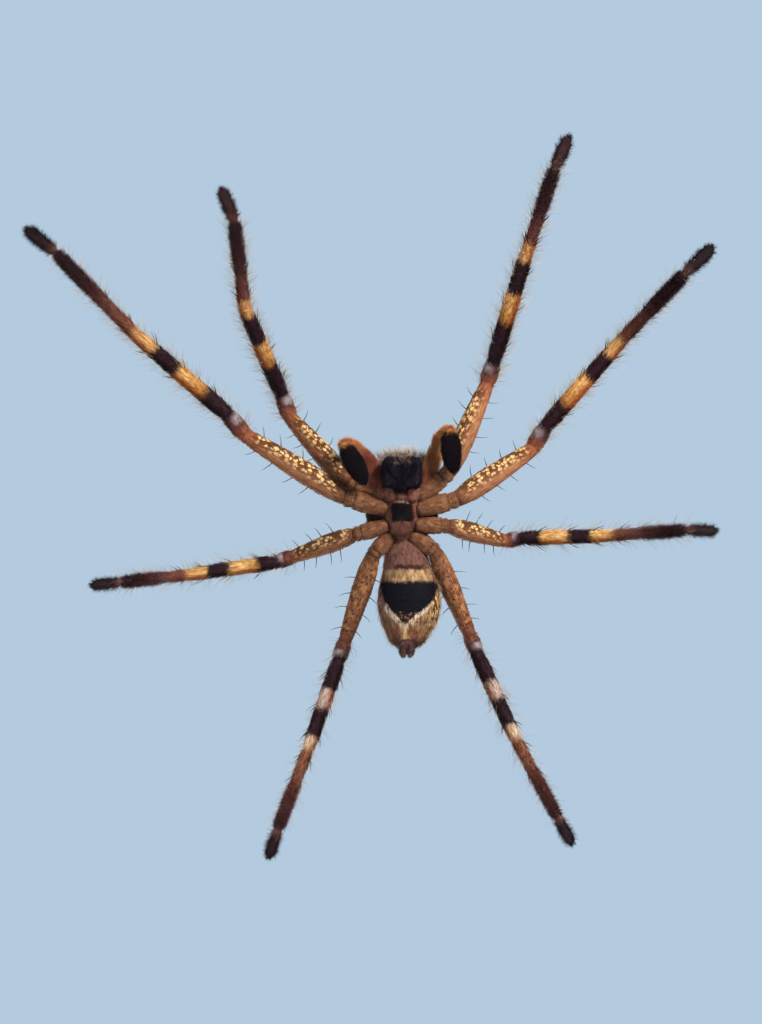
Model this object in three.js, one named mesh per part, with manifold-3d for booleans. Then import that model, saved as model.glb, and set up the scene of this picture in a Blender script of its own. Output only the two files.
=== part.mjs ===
// A huntsman spider, life size, standing still with its legs spread.
// Millimetres. X is the spider's right, Y its front, Z up. Its feet stand on Z = 0.
import * as THREE from 'three';
import { mergeVertices } from 'three/addons/utils/BufferGeometryUtils.js';
import Module from 'manifold-3d';

const wasm = await Module();
wasm.setup();

// Sizes that hold for the whole animal.
const gap = 0.3;                    // between two parts that meet face to face
const bodyPlace = [-3.47, -2.44];   // the middle of the sternum, from the middle of the stance
const ankleHeight = 0.78;           // where a metatarsus ends and a foot begins
const toeHeight = 0.36;             // where a foot ends
const legSides = 10;
const footSides = 12;

// Lengths along the axis of each part of a leg, alike on the left and the right.
const legLengths = {
  1: { femur: 12.7, patella: 3.0, tibia: 13.8, metatarsus: 9.9, tarsus: 3.8 },
  2: { femur: 13.8, patella: 3.2, tibia: 13.8, metatarsus: 12.9, tarsus: 4.1 },
  3: { femur: 9.4, patella: 2.1, tibia: 10.5, metatarsus: 10.0, tarsus: 3.2 },
  4: { femur: 11.7, patella: 2.5, tibia: 10.8, metatarsus: 10.8, tarsus: 3.1 },
};
const legGirth = { 1: 1.0, 2: 1.03, 3: 0.9, 4: 0.93 };

// How each leg stands, seen from the middle of the sternum. Headings are in degrees from X towards Y,
// one for each part from the femur to the tarsus. Heights are those of the knee and of the far ends of
// the patella and the tibia.
const stance = {
  right_leg_1: {
    root: [1.9, 2.5, 3.8], hip: [6.1, 4.0, 5.3],
    heading: [48, 70, 68, 84, 69], height: [12.2, 12.4, 2.9],
  },
  right_leg_2: {
    root: [1.9, 1.1, 3.5], hip: [6.5, 2.3, 3.6],
    heading: [32, 50, 41, 46, 39], height: [5.3, 4.8, 2.8],
  },
  right_leg_3: {
    root: [1.7, -0.9, 3.6], hip: [5.4, -1.9, 4.2],
    heading: [-20, -18, -8, -5, -6], height: [9.4, 9.7, 8.0],
  },
  right_leg_4: {
    root: [1.2, -2.0, 4.0], hip: [3.3, -4.2, 4.4],
    heading: [-72, -72, -71, -69, -72], height: [9.1, 8.4, 6.3],
  },
  left_leg_1: {
    root: [-1.9, 2.5, 3.6], hip: [-5.4, 5.2, 4.2],
    heading: [114, 106, 106, 108, 114], height: [9.7, 8.9, 3.1],
  },
  left_leg_2: {
    root: [-1.9, 1.0, 3.6], hip: [-6.3, 2.1, 4.2],
    heading: [147, 121, 131, 132, 136], height: [12.5, 12.2, 10.1],
  },
  left_leg_3: {
    root: [-1.7, -0.8, 3.6], hip: [-5.3, -0.9, 4.2],
    heading: [195, 170, 178, 175, 182], height: [10.3, 9.6, 6.8],
  },
  left_leg_4: {
    root: [-1.2, -2.0, 4.0], hip: [-3.8, -3.8, 4.4],
    heading: [247, 249, 246, 242, 242], height: [9.1, 8.5, 5.1],
  },
};

// Half thickness along each part of a leg, at shares of its length.
const legShapes = {
  coxa: [[0, 0.72], [0.2, 0.95], [0.5, 1.13], [0.74, 1.08], [0.8, 0.92], [0.88, 1.0], [1, 0.88]],
  femur: [[0, 0.84], [0.07, 1.08], [0.2, 1.3], [0.42, 1.34], [0.68, 1.16], [0.88, 1.0], [1, 0.86]],
  patella: [[0, 0.82], [0.25, 1.0], [0.7, 1.0], [1, 0.8]],
  tibia: [[0, 0.78], [0.1, 0.94], [0.45, 0.9], [0.85, 0.84], [1, 0.7]],
  metatarsus: [[0, 0.62], [0.08, 0.72], [0.5, 0.64], [0.92, 0.62], [1, 0.52]],
  tarsus: [[0, 0.5], [0.15, 0.64], [0.6, 0.7], [0.85, 0.66], [0.95, 0.46], [1, 0]],
};
const legOrder = ['femur', 'patella', 'tibia', 'metatarsus', 'tarsus'];
const kneeArch = 0.7;               // how far the curve of a patella is drawn up

// Dark spines, in rows along a part: share of its length, degrees round it from straight up, and
// degrees between a spine and the part that carries it. A knee has one tall spine on its back.
const spineRows = {
  femur: { places: [0.34, 0.52, 0.7, 0.86], turns: [-70, 0, 70], length: 1.8, lean: 60 },
  patella: { places: [0.34], turns: [0], length: 1.9, lean: 82 },
  tibia: { places: [0.2, 0.52, 0.82], turns: [-115, 115], length: 1.9, lean: 46 },
  metatarsus: { places: [0.14, 0.44], turns: [-110, 110], length: 1.7, lean: 44 },
};
const spineRoot = 0.27;
const spineSink = 0.4;              // how deep the root of a spine is sunk in the leg
const spineInset = 0.06;
const spineSides = 4;

// Colours and finishes, seen on the belly side.
function finish(colour, roughness) {
  return new THREE.MeshStandardMaterial({ color: colour, roughness, metalness: 0 });
}
const finishes = {
  coxa: () => finish(0x8a5f3c, 0.75),
  femur: () => finish(0xb67b3e, 0.7),
  patella: () => finish(0x9d7560, 0.75),
  tibia: () => finish(0x3a262b, 0.7),
  metatarsus: () => finish(0x5c3a31, 0.75),
  tarsus: () => finish(0x2b2226, 0.85),
  body: () => finish(0x7b4d38, 0.75),
  chelicera: () => finish(0x241f2b, 0.55),
  fang: () => finish(0x1c1214, 0.25),
  palp: () => finish(0xa9683a, 0.75),
  pad: () => finish(0x26222a, 0.9),
  abdomen: () => finish(0xa98559, 0.85),
};

// A closed surface as a solid that can be joined and cut.
function solidOf(geometry) {
  const bare = geometry.clone();
  bare.deleteAttribute('normal');
  bare.deleteAttribute('uv');
  const merged = mergeVertices(bare, 1e-5);
  const corners = [];
  for (let i = 0; i < merged.index.count; i += 3) {
    const [a, b, c] = [merged.index.getX(i), merged.index.getX(i + 1), merged.index.getX(i + 2)];
    if (a !== b && b !== c && c !== a) {
      corners.push(a, b, c);
    }
  }
  const vertProperties = Float32Array.from(merged.attributes.position.array);
  const solidFrom = (triVerts) => new wasm.Manifold(new wasm.Mesh({ numProp: 3, vertProperties, triVerts }));
  const solid = solidFrom(Uint32Array.from(corners));
  return solid.volume() > 0 ? solid : solidFrom(Uint32Array.from(corners).reverse());
}

function joined(solids) {
  return solids.reduce((whole, piece) => whole.add(piece));
}

function carved(solid, tools) {
  return tools.reduce((rest, tool) => rest.subtract(tool), solid);
}

// The largest closed piece of a solid, as a mesh of the model.
function meshOf(name, solid, material) {
  const pieces = solid.decompose().sort((a, b) => b.volume() - a.volume());
  const surface = pieces[0].getMesh();
  const geometry = new THREE.BufferGeometry();
  geometry.setAttribute('position', new THREE.BufferAttribute(Float32Array.from(surface.vertProperties), 3));
  geometry.setIndex(new THREE.BufferAttribute(Uint32Array.from(surface.triVerts), 1));
  const mesh = new THREE.Mesh(geometry, material);
  mesh.name = name;
  return mesh;
}

const up = new THREE.Vector3(0, 0, 1);
const vector = (place) => new THREE.Vector3(...place);

// The directions of a limb at a share of its curve: along it, to its side and out of its back.
function frameAt(curve, share, back) {
  const along = curve.getTangent(THREE.MathUtils.clamp(share, 0, 1));
  const side = new THREE.Vector3().crossVectors(along, back).normalize();
  const out = new THREE.Vector3().crossVectors(side, along).normalize();
  return { along, side, out };
}

// A limb: a turned shape laid along a curve. Its shape gives half thicknesses at shares of the length.
// Reach lets it run on past both ends, to be cut there, and extra makes it that much fatter all over.
// Its section is an ellipse, or with a power above 2 a square with round corners.
function limb({ curve, shape, sides = legSides, power = 2, high = 1, extra = 0, reach = [0, 0], back = up }) {
  const length = curve.getLength();
  const [start, end] = [-reach[0] - extra, length + reach[1] + extra];
  const profile = [new THREE.Vector2(0, start)];
  for (const [share, radius] of shape) {
    const at = { 0: start, 1: end }[share] ?? share * length;
    profile.push(new THREE.Vector2(radius, at));
  }
  if (profile.at(-1).x > 0) {
    profile.push(new THREE.Vector2(0, end));
  }
  const geometry = new THREE.LatheGeometry(profile, sides);
  const place = geometry.attributes.position;
  const point = new THREE.Vector3();
  for (let i = 0; i < place.count; i += 1) {
    const share = place.getY(i) / length;
    const inside = THREE.MathUtils.clamp(share, 0, 1);
    const { along, side, out } = frameAt(curve, inside, back);
    const [x, z] = [place.getX(i), place.getZ(i)];
    const radius = Math.hypot(x, z) || 1;
    const sum = Math.abs(x / radius) ** power + Math.abs(z / radius) ** power;
    const corner = sum ? sum ** (-1 / power) : 1;
    point.copy(curve.getPoint(inside))
      .addScaledVector(along, (share - inside) * length)
      .addScaledVector(side, x * (corner + extra / radius))
      .addScaledVector(out, z * (high * corner + extra / radius));
    place.setXYZ(i, point.x, point.y, point.z);
  }
  return solidOf(geometry);
}

function line(from, to) {
  return new THREE.LineCurve3(from, to);
}

function smooth(...places) {
  return new THREE.CatmullRomCurve3(places.map(vector), false, 'catmullrom', 0.5);
}

// The part of a solid on the far side of a plane, half a gap clear of it.
function cutAt(solid, place, normal) {
  const n = normal.clone().normalize();
  return solid.trimByPlane([n.x, n.y, n.z], n.dot(place) + gap / 2);
}

// An ellipsoid, with its ends made blunter by a higher power.
function ball({ centre, radii, power = 2, sides = 16, rings = 10 }) {
  const geometry = new THREE.SphereGeometry(1, sides, rings);
  const place = geometry.attributes.position;
  for (let i = 0; i < place.count; i += 1) {
    const unit = new THREE.Vector3().fromBufferAttribute(place, i);
    const sum = unit.toArray().reduce((total, part) => total + Math.abs(part) ** power, 0);
    unit.divideScalar(sum ** (1 / power)).multiply(vector(radii)).add(vector(centre));
    place.setXYZ(i, unit.x, unit.y, unit.z);
  }
  return solidOf(geometry);
}

// Joints of one leg, from the root of its coxa to its toe.
function jointsOf(name) {
  const { root, hip, heading, height } = stance[name];
  const lengths = legLengths[name.at(-1)];
  const heights = [...height, ankleHeight, toeHeight];
  const joints = [vector(root), vector(hip)];
  legOrder.forEach((part, i) => {
    const rise = heights[i] - joints.at(-1).z;
    const run = Math.sqrt(lengths[part] ** 2 - rise ** 2);
    const turn = THREE.MathUtils.degToRad(heading[i]);
    const step = new THREE.Vector3(run * Math.cos(turn), run * Math.sin(turn), rise);
    joints.push(joints.at(-1).clone().add(step));
  });
  return joints;
}

// The plane between two parts that meet at a joint.
function jointPlane(before, joint, after) {
  const a = joint.clone().sub(before).normalize();
  const b = after.clone().sub(joint).normalize();
  return a.add(b).normalize();
}

// A repeatable draw between 0 and 1.
let drawn = 7;
function draw() {
  drawn = (drawn * 16807) % 2147483647;
  return drawn / 2147483647;
}

// Spines of one part, leaning towards its far end.
function spinesOf(part, curve, girth) {
  const row = spineRows[part];
  if (!row) {
    return [];
  }
  const spines = [];
  for (const share of row.places) {
    for (const turn of row.turns) {
      const place = share + (draw() - 0.5) * 0.05;
      const { along, side, out } = frameAt(curve, place, up);
      const angle = THREE.MathUtils.degToRad(turn + (draw() - 0.5) * 16);
      const lean = THREE.MathUtils.degToRad(row.lean + (draw() - 0.5) * 14);
      const outward = side.multiplyScalar(Math.sin(angle)).addScaledVector(out, Math.cos(angle));
      const direction = outward.clone().multiplyScalar(Math.sin(lean));
      direction.addScaledVector(along, Math.cos(lean));
      const reach = radiusAt(legShapes[part], place) * girth - spineInset;
      const foot = curve.getPoint(place).addScaledVector(outward, reach);
      const length = row.length * (0.85 + 0.3 * draw());
      const cone = new THREE.ConeGeometry(spineRoot, length + spineSink, spineSides);
      cone.translate(0, (length + spineSink) / 2 - spineSink, 0);
      cone.applyQuaternion(new THREE.Quaternion().setFromUnitVectors(new THREE.Vector3(0, 1, 0), direction));
      cone.translate(foot.x, foot.y, foot.z);
      spines.push(solidOf(cone));
    }
  }
  return spines;
}

// Half thickness at a share of a part's length.
function radiusAt(shape, share) {
  const next = shape.findIndex(([at]) => at >= share);
  const [a, ra] = shape[Math.max(next - 1, 0)];
  const [b, rb] = shape[next];
  return b > a ? ra + ((rb - ra) * (share - a)) / (b - a) : rb;
}

function scaled(shape, girth) {
  return shape.map(([share, radius]) => [share, radius * girth]);
}

// One part of a leg from the femur on, cut square to the bend at both of its joints.
function legPart(name, part) {
  const joints = jointsOf(name);
  const i = legOrder.indexOf(part) + 1;
  const girth = legGirth[name.at(-1)];
  const [from, to] = [joints[i], joints[i + 1]];
  const isFoot = part === 'tarsus';
  const straight = line(from, to);
  const middle = from.clone().lerp(to, 0.5).addScaledVector(frameAt(straight, 0.5, up).out, kneeArch);
  const curve = part === 'patella' ? new THREE.QuadraticBezierCurve3(from, middle, to) : straight;
  let solid = limb({
    curve,
    shape: scaled(legShapes[part], girth),
    sides: isFoot ? footSides : legSides,
    high: isFoot ? 0.92 : 1,
    reach: [0.8, isFoot ? 0 : 0.8],
  });
  solid = cutAt(solid, from, jointPlane(joints[i - 1], from, to));
  if (isFoot) {
    return solid.trimByPlane([0, 0, 1], 0);
  }
  solid = cutAt(solid, to, jointPlane(from, to, joints[i + 2]).negate());
  solid = joined([solid, ...spinesOf(part, curve, girth)]);
  return part === 'femur' && name.endsWith('4') ? solid.subtract(abdomen(gap)) : solid;
}

// A coxa with its trochanter, cut clear of the coxae before and behind it.
function coxaOf(name, extra = 0) {
  const joints = jointsOf(name);
  const [side, number] = [name.split('_')[0], Number(name.at(-1))];
  const [root, hip, knee] = joints;
  let solid = limb({
    curve: line(root, hip),
    shape: scaled(legShapes.coxa, legGirth[number]),
    reach: [0, 0.8],
    extra,
  });
  if (extra) {
    return solid;
  }
  solid = cutAt(solid, hip, jointPlane(root, hip, knee).negate());
  if (number === 1) {
    const sign = Math.sign(root.x);
    solid = carved(solid, [chelicera(sign, gap), palp(side, gap)]);
  }
  const middle = root.clone().lerp(hip, 0.5);
  for (const other of [number - 1, number + 1]) {
    if (other >= 1 && other <= 4) {
      const [otherRoot, otherHip] = jointsOf(`${side}_leg_${other}`);
      const otherMiddle = otherRoot.clone().lerp(otherHip, 0.5);
      const along = jointPlane(root, hip, hip.clone().add(otherHip).sub(otherRoot));
      const apart = middle.clone().sub(otherMiddle);
      apart.addScaledVector(along, -apart.dot(along));
      solid = cutAt(solid, middle.clone().lerp(otherMiddle, 0.5), apart);
    }
  }
  return solid;
}

// The carapace: a low dome on a pear-shaped outline, blunt in front where the head is.
const carapace = {
  middle: [0, 2.2], halfLength: 4.9, halfWidth: 4.35, headTaper: 0.13, hindSlope: 0.22,
  rim: 5.2, height: 2.9, thick: 0.5, power: 3,
};

// Where a point of a round dome lies on the carapace. Across and forward run from -1 to 1 on its outline.
function onCarapace(across, forward, climb) {
  const { middle, halfLength, halfWidth, headTaper, hindSlope, rim, height, power } = carapace;
  const spread = Math.hypot(across, forward);
  const blunt = spread && spread / ((Math.abs(across) ** power + Math.abs(forward) ** power) ** (1 / power));
  const [u, v] = [across * blunt, forward * blunt];
  const taper = 1 - headTaper * THREE.MathUtils.smoothstep(v, 0.05, 0.85);
  const slope = 1 - hindSlope * THREE.MathUtils.smoothstep(-v, 0, 1);
  return new THREE.Vector3(
    middle[0] + u * halfWidth * taper,
    middle[1] + v * halfLength,
    rim + height * climb * (climb > 0 ? slope : 1),
  );
}

// Half width and height of the dome at an angle up its side, from 0 at the rim to a right angle on top.
function domeAt(angle) {
  return [Math.cos(angle) ** 0.8, Math.sin(angle) ** 0.9];
}

function carapaceSolid() {
  const { height, thick } = carapace;
  const under = [[0, -thick / height], [0.9, -thick / height], [1, 0]];
  const profile = under.map((place) => new THREE.Vector2(...place));
  const steps = 6;
  for (let i = 1; i <= steps; i += 1) {
    const angle = (i / steps) * (Math.PI / 2);
    profile.push(new THREE.Vector2(...domeAt(angle)));
  }
  const geometry = new THREE.LatheGeometry(profile, 28);
  const place = geometry.attributes.position;
  for (let i = 0; i < place.count; i += 1) {
    const point = onCarapace(place.getX(i), place.getZ(i), place.getY(i));
    place.setXYZ(i, point.x, point.y, point.z);
  }
  return solidOf(geometry);
}

// Eight eyes in two rows across the front of the head: degrees to the side of straight ahead,
// how far up the dome's curve, and radius, for one side.
const eyes = [
  { aside: 8, climb: 25, radius: 0.3 },
  { aside: 21, climb: 24, radius: 0.38 },
  { aside: 11, climb: 44, radius: 0.28 },
  { aside: 32, climb: 42, radius: 0.34 },
];

function eyeDome({ aside, climb, radius }, side) {
  const [turn, rise] = [THREE.MathUtils.degToRad(aside), THREE.MathUtils.degToRad(climb)];
  const [ring, height] = domeAt(rise);
  const centre = onCarapace(side * ring * Math.sin(turn), ring * Math.cos(turn), height);
  return ball({ centre: centre.toArray(), radii: [radius, radius, radius], sides: 10, rings: 6 });
}

const sternum = { centre: [0, 0, 2.95], radii: [1.35, 2.1, 0.62] };
const labium = { centre: [0, 2.5, 3.0], radii: [0.8, 0.62, 0.6] };

// A maxilla beside the mouth, and the lobe behind it that the palp grows from.
function maxilla(side) {
  const blade = limb({
    curve: line(vector([side * 1.1, 1.9, 3.2]), vector([side * 1.6, 3.7, 3.1])),
    shape: [[0, 0.5], [0.3, 0.7], [0.7, 0.66], [1, 0.4]],
  });
  const lobe = limb({
    curve: line(vector([side * 1.3, 2.3, 3.7]), vector([side * 2.75, 3.75, 3.7])),
    shape: [[0, 0.6], [0.4, 0.85], [1, 0.8]],
    reach: [0, 0.4],
  });
  return blade.add(lobe);
}

// A chelicera hangs from under the front of the head, its end just off the floor.
function chelicera(side, extra = 0) {
  const solid = limb({
    curve: smooth([side * 1.15, 4.3, 5.5], [side * 1.2, 4.95, 3.6], [side * 1.15, 5.3, 0.95]),
    shape: [[0, 0.7], [0.17, 0.92], [0.4, 1.03], [0.75, 1.0], [0.92, 0.92], [1, 0.74]],
    sides: 16,
    power: 3,
    high: 1.78,
    extra,
    back: new THREE.Vector3(0, 1, 0),
  });
  return extra ? solid : solid.trimByPlane([side, 0, 0], gap / 2).subtract(fang(side, gap));
}

// A fang lies folded across the end of its chelicera.
function fang(side, extra = 0) {
  const [base, knuckle, middle, tip] = [[1.6, 6.1, 1.15], [1.4, 5.6, 0.9], [0.9, 4.75, 0.85], [0.4, 4.1, 1.0]];
  return limb({
    curve: smooth(...[base, knuckle, middle, tip].map(([x, y, z]) => [side * x, y, z])),
    shape: [[0, 0.34], [0.15, 0.38], [0.6, 0.29], [1, 0.1]],
    sides: 8,
    extra,
  });
}

// The feelers: places of the joints of each palp, and of its last part, which is folded back below.
const palps = {
  right: {
    path: [
      [2.75, 3.75, 3.7], [3.25, 5.0, 4.2], [3.75, 6.3, 5.0],
      [4.9, 7.6, 5.2], [6.1, 8.3, 4.2], [6.5, 8.3, 2.9],
    ],
    base: [6.45, 8.1, 1.75],
    tip: [4.12, 3.8, 1.2],
    turnAxis: [0.84, -0.54, 0],
  },
  left: {
    path: [
      [-2.75, 3.75, 3.7], [-3.05, 5.2, 4.3], [-3.75, 7.1, 5.1],
      [-4.4, 8.8, 5.2], [-5.1, 9.7, 4.2], [-5.4, 9.85, 2.9],
    ],
    base: [-5.42, 9.65, 1.75],
    tip: [-5.86, 5.1, 1.2],
    turnAxis: [0.93, 0.36, 0],
  },
};
const palpShape = [
  [0, 0.62], [0.2, 0.78], [0.42, 0.72], [0.5, 0.66], [0.62, 0.8], [0.74, 0.66], [0.88, 0.82], [1, 0.7],
];
const palpTarsusShape = [[0, 0.7], [0.12, 0.98], [0.4, 1.14], [0.7, 0.98], [0.9, 0.6], [1, 0]];

function palp(side, extra = 0) {
  const { path, base, turnAxis } = palps[side];
  const solid = limb({
    curve: smooth(...path, base),
    shape: palpShape,
    reach: [0, -gap / 2],
    extra,
    back: vector(turnAxis),
  });
  return extra ? solid : solid.subtract(chelicera(Math.sign(base[0]), gap));
}

function palpTarsus(side) {
  const { path, base, tip } = palps[side];
  const solid = limb({
    curve: line(vector(base), vector(tip)),
    shape: palpTarsusShape,
    sides: footSides,
    high: 0.72,
    reach: [0.5, 0],
  });
  return cutAt(solid, vector(base), smooth(...path, base).getTangent(1));
}

// The abdomen, an egg that is widest behind its middle, with the spinnerets under its end.
const abdomenCurve = smooth([-0.1, -2.3, 4.6], [-0.6, -6, 4.9], [-0.85, -10, 4.9], [-0.45, -15.2, 4.6]);
const abdomenShape = [
  [0, 0.5], [0.05, 1.3], [0.11, 2.1], [0.19, 2.5], [0.28, 2.82], [0.37, 3.22], [0.46, 3.52], [0.55, 3.66],
  [0.64, 3.6], [0.73, 3.3], [0.82, 2.74], [0.91, 2.1], [0.97, 1.3], [1, 0],
];
const abdomenFront = -2.6;

function abdomen(extra = 0) {
  return limb({ curve: abdomenCurve, shape: abdomenShape, sides: 24, high: 0.92, extra });
}

function spinnerets() {
  const middle = -0.55;
  const cones = [];
  for (const side of [-1, 1]) {
    const under = [[side * 0.42, -14.1, 2.8], [side * 0.44, -15.1, 2.6], [side * 0.28, -15.95, 2.75]];
    const over = [[side * 0.42, -14.5, 3.4], [side * 0.48, -15.3, 3.35], [side * 0.44, -16.0, 3.4]];
    for (const path of [under, over]) {
      cones.push(limb({
        curve: smooth(...path.map(([x, y, z]) => [middle + x, y, z])),
        shape: [[0, 0.42], [0.5, 0.46], [0.82, 0.34], [1, 0.15]],
        sides: 8,
      }));
    }
  }
  const mound = ball({ centre: [middle, -14.6, 3.3], radii: [0.98, 1.0, 0.95], sides: 12, rings: 8 });
  return joined([mound, ...cones]).subtract(abdomen(gap * 1.8));
}

function prosoma() {
  const parts = [
    carapaceSolid(),
    ball({ centre: [0, 0.8, 4.5], radii: [2.5, 3.7, 1.7] }),
    ball({ ...sternum, power: 2.5 }),
    ball({ ...labium, sides: 12, rings: 8 }),
    maxilla(1),
    maxilla(-1),
  ];
  for (const eye of eyes) {
    parts.push(eyeDome(eye, 1), eyeDome(eye, -1));
  }
  const tools = [chelicera(1, gap), chelicera(-1, gap), palp('right', gap), palp('left', gap)];
  for (const name of Object.keys(stance)) {
    tools.push(coxaOf(name, gap));
  }
  const whole = carved(joined(parts), tools);
  return whole.trimByPlane([0, 1, 0], abdomenFront + gap / 2);
}

// The whole animal, one node for each of its parts.
const spider = new THREE.Group();
spider.position.set(...bodyPlace, 0);
const hindCoxae = ['right_leg_4', 'left_leg_4'].map((name) => coxaOf(name, gap));
spider.add(meshOf('prosoma', prosoma(), finishes.body()));
const belly = carved(abdomen().trimByPlane([0, -1, 0], -(abdomenFront - gap / 2)), hindCoxae);
spider.add(meshOf('abdomen', belly, finishes.abdomen()));
spider.add(meshOf('spinnerets', spinnerets(), finishes.body()));
for (const [side, sign] of [['right', 1], ['left', -1]]) {
  spider.add(meshOf(`chelicera_${side}`, chelicera(sign), finishes.chelicera()));
  spider.add(meshOf(`fang_${side}`, fang(sign), finishes.fang()));
  spider.add(meshOf(`palp_${side}`, palp(side), finishes.palp()));
  spider.add(meshOf(`palp_tarsus_${side}`, palpTarsus(side), finishes.pad()));
}
for (const name of Object.keys(stance)) {
  spider.add(meshOf(`${name}_coxa`, coxaOf(name), finishes.coxa()));
  for (const part of legOrder) {
    spider.add(meshOf(`${name}_${part}`, legPart(name, part), finishes[part]()));
  }
}

const group = new THREE.Group();
group.add(spider);
export default group;
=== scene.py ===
"""A life-size huntsman spider, seen from its belly side as in the photograph.

The skins, hair, spines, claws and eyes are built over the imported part, in its frame. Lengths in the tables
are millimetres in the body's own frame: its origin is under the middle of the sternum, on the floor.
"""
import math
from collections import namedtuple
from functools import partial, reduce
from itertools import product

import bpy
import numpy as np
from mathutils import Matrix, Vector


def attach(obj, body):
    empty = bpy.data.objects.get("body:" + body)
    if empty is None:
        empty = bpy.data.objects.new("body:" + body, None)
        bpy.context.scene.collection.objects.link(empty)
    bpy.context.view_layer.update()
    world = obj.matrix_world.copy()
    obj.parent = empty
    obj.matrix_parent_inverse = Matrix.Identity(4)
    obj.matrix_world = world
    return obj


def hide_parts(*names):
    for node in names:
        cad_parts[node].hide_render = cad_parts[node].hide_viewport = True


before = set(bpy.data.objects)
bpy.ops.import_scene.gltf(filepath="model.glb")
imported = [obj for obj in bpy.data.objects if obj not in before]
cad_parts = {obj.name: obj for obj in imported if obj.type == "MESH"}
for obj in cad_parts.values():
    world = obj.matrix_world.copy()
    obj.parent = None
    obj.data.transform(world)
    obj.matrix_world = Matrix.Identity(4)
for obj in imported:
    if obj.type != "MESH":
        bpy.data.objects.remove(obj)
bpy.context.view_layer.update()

MM = 0.001
BODY = np.array((-3.47, -2.44, 0.0))   # the body frame's origin, from the middle of the stance
UP = np.array((0.0, 0.0, 1.0))
SIDES = {"right": 1, "left": -1}
SEED = 11
draw = np.random.default_rng(SEED)

# The legs: lengths of femur, patella, tibia, metatarsus and tarsus, and how stout each pair is.
LEG_LENGTHS = {
    1: (12.7, 3.0, 13.8, 9.9, 3.8),
    2: (13.8, 3.2, 13.8, 12.9, 4.1),
    3: (9.4, 2.1, 10.5, 10.0, 3.2),
    4: (11.7, 2.5, 10.8, 10.8, 3.1),
}
LEG_GIRTH = {1: 1.0, 2: 1.03, 3: 0.9, 4: 0.93}
LEG_PARTS = ("coxa", "femur", "patella", "tibia", "metatarsus", "tarsus")
TARSUS = LEG_PARTS.index("tarsus")
ANKLE_HEIGHT = 0.78
TOE_HEIGHT = 0.36
PATELLA_ARCH = 0.35                    # how far the middle of a patella rises off a straight line
OVERLAP = 0.25                         # how far a part of a leg reaches into the next

# How each leg stands: where it leaves the body, its hip, the headings of its parts in degrees from X
# towards Y, and the heights of the knee and of the far ends of the patella and the tibia.
STANCE = {
    "right_leg_1": ((1.9, 2.5, 3.8), (6.1, 4.0, 5.3), (48, 70, 68, 84, 69), (12.2, 12.4, 2.9)),
    "right_leg_2": ((1.9, 1.1, 3.5), (6.5, 2.3, 3.6), (32, 50, 41, 46, 39), (5.3, 4.8, 2.8)),
    "right_leg_3": ((1.7, -0.9, 3.6), (5.4, -1.9, 4.2), (-20, -18, -8, -5, -6), (9.4, 9.7, 8.0)),
    "right_leg_4": ((1.2, -2.0, 4.0), (3.3, -4.2, 4.4), (-72, -72, -71, -69, -72), (9.1, 8.4, 6.3)),
    "left_leg_1": ((-1.9, 2.5, 3.6), (-5.4, 5.2, 4.2), (114, 106, 106, 108, 114), (9.7, 8.9, 3.1)),
    "left_leg_2": ((-1.9, 1.0, 3.6), (-6.3, 2.1, 4.2), (147, 121, 131, 132, 136), (12.5, 12.2, 10.1)),
    "left_leg_3": ((-1.7, -0.8, 3.6), (-5.3, -0.9, 4.2), (195, 170, 178, 175, 182), (10.3, 9.6, 6.8)),
    "left_leg_4": ((-1.2, -2.0, 4.0), (-3.8, -3.8, 4.4), (247, 249, 246, 242, 242), (9.1, 8.5, 5.1)),
}

# Half thickness at shares of each part's length, under the coat.
LEG_SHAPES = {
    "coxa": (
        (0, 0.72), (0.2, 0.92), (0.5, 1.08), (0.72, 1.02), (0.79, 0.84), (0.83, 0.9), (0.92, 0.94), (1, 0.8),
    ),
    "femur": ((0, 0.8), (0.06, 0.98), (0.2, 1.22), (0.42, 1.27), (0.68, 1.1), (0.9, 0.93), (1, 0.8)),
    "patella": ((0, 0.76), (0.25, 0.93), (0.7, 0.93), (1, 0.74)),
    "tibia": ((0, 0.72), (0.1, 0.87), (0.45, 0.84), (0.85, 0.78), (1, 0.64)),
    "metatarsus": ((0, 0.56), (0.08, 0.66), (0.5, 0.59), (0.75, 0.6), (0.92, 0.57), (1, 0.44)),
    "tarsus": ((0, 0.42), (0.15, 0.57), (0.6, 0.63), (0.85, 0.58), (1, 0.42)),
}
PALP_SHAPE = (
    (0, 0.56), (0.2, 0.76), (0.42, 0.7), (0.5, 0.6), (0.62, 0.74), (0.74, 0.6), (0.86, 0.56), (1, 0.4),
)
PAD_SHAPE = ((0, 0.62), (0.12, 0.92), (0.4, 1.08), (0.7, 0.92), (0.9, 0.56), (1, 0.3))
PALPS = {
    "right": {
        "path": (
            (2.75, 3.75, 3.7), (3.25, 5.0, 4.2), (3.75, 6.3, 5.0),
            (4.9, 7.6, 5.2), (6.1, 8.3, 4.2), (6.5, 8.3, 2.9), (6.45, 8.1, 1.75),
        ),
        "tip": (4.12, 3.8, 1.2),
        "turn_axis": (0.84, -0.54, 0),
        # The right palp's dark root runs this far as painted shade beside the jaws.
        "orange_from": 0.5,
    },
    "left": {
        "path": (
            (-2.75, 3.75, 3.7), (-3.05, 5.2, 4.3), (-3.75, 7.1, 5.1),
            (-4.4, 8.8, 5.2), (-5.1, 9.7, 4.2), (-5.4, 9.85, 2.9), (-5.42, 9.65, 1.75),
        ),
        "tip": (-5.86, 5.1, 1.2),
        "turn_axis": (0.93, 0.36, 0),
        "orange_from": 0.12,
    },
}
ABDOMEN_PATH = ((-0.1, -2.3, 4.6), (-0.6, -6, 4.9), (-0.85, -10, 4.9), (-0.45, -15.2, 4.6))
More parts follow.
